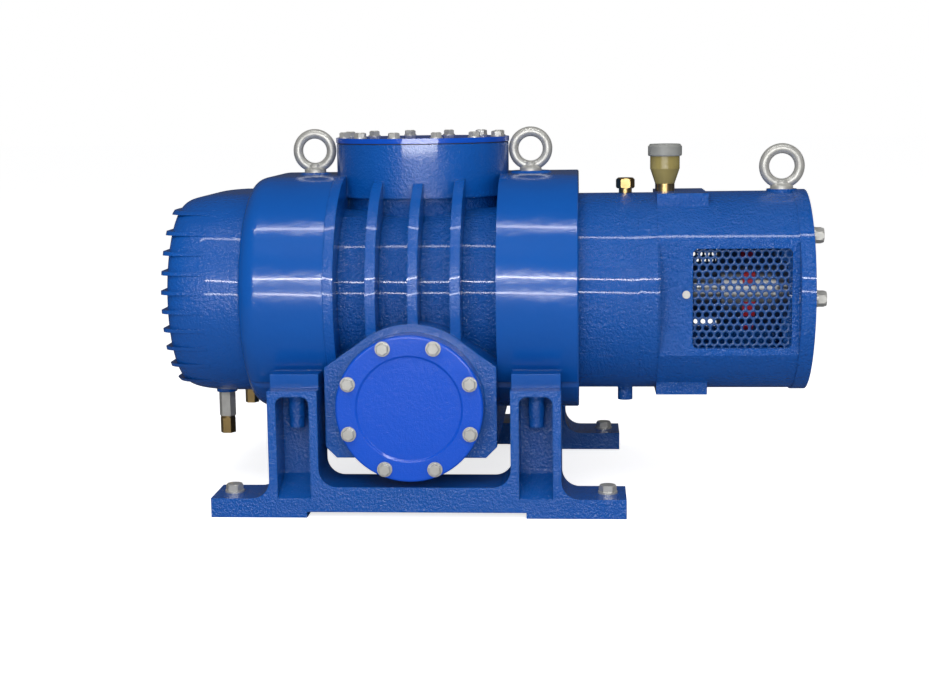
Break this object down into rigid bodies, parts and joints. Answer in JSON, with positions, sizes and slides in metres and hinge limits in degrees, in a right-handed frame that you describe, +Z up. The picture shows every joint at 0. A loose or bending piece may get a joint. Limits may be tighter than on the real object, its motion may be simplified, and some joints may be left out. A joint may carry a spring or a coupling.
{
  "type": "roots vacuum pump",
  "caption": "Blue roots vacuum pump on cast foot rails with finned gear cover, blanked top inlet, side outlets and a motor lantern with a guarded coupling.",
  "frame": {"origin": "floor level, at the centre of the bounding box in X and Y", "axes": "+X along the shafts from the gear cover to the motor end, +Y to the rear, +Z up"},
  "size_m": [1.03, 0.637, 0.588],
  "materials": {
    "blue_paint": "gloss",
    "bright_blue_paint": "gloss",
    "guard_paint": "semi gloss",
    "zinc_steel": "zinc plated",
    "brass": "turned",
    "amber_plastic": "translucent",
    "grey_plastic": "satin",
    "gasket": "matt",
    "copper_washer": "flat copper",
    "cast_rotor": "machined",
    "machined_steel": "ground",
    "red_elastomer": "satin"
  },
  "bodies": {
    "pump": {"rotor_casing": "blue_paint", "gear_end_housing": "blue_paint", "drive_end_housing": "blue_paint", "gear_cover": "blue_paint", "seal_housing": "blue_paint", "seal_cover": "blue_paint", "motor_lantern": "blue_paint", "inlet_blank_plate": "blue_paint", "foot_rail_front": "blue_paint", "foot_rail_rear": "blue_paint", "housing_drain_plug": "blue_paint", "outlet_cover": "bright_blue_paint", "coupling_guard_front": "guard_paint", "coupling_guard_rear": "guard_paint", "inlet_bolts": "zinc_steel", "outlet_cover_bolts": "zinc_steel", "outlet_studs": "zinc_steel", "foot_bolts": "zinc_steel", "motor_flange_bolts": "zinc_steel", "eyebolt_gear_end": "zinc_steel", "eyebolt_drive_end": "zinc_steel", "eyebolt_lantern": "zinc_steel", "guard_screws": "zinc_steel", "pedestal_screws": "zinc_steel", "drain_sleeve": "zinc_steel", "drain_plug": "brass", "level_plug": "brass", "vent_plug": "brass", "oiler_base": "brass", "oiler_bowl": "amber_plastic", "inlet_gasket": "gasket", "outlet_gasket": "gasket", "shaft_seal": "gasket", "level_washer": "copper_washer", "bearing_outer_rings": "machined_steel"},
    "drive_shaft": {"drive_rotor": "cast_rotor", "drive_timing_gear": "machined_steel", "drive_gear_nut": "machined_steel", "drive_bearing_inner_rings": "machined_steel", "coupling_pump_hub": "machined_steel", "coupling_spider": "red_elastomer", "coupling_motor_hub": "machined_steel"},
    "idle_shaft": {"idle_rotor": "cast_rotor", "idle_timing_gear": "machined_steel", "idle_gear_nut": "machined_steel", "idle_bearing_inner_rings": "machined_steel", "oil_slinger": "machined_steel"},
    "cap": {"oiler_cap": "grey_plastic"}
  },
  "joints": [
    {"name": "drive_spin", "type": "hinge", "parent": "pump", "child": "drive_shaft", "pos_m": [0, -0.08, 0.325], "axis": [1, 0, 0], "continuous": true},
    {"name": "idle_spin", "type": "hinge", "parent": "pump", "child": "idle_shaft", "pos_m": [0, 0.08, 0.325], "axis": [1, 0, 0], "continuous": true},
    {"name": "cap_lift", "type": "slide", "parent": "pump", "child": "cap", "axis": [0, 0, 1], "range_m": [0, 0.03]}
  ],
  "couplings": [
    {"joint": "idle_spin", "follows": "drive_spin", "ratio": -1}
  ]
}
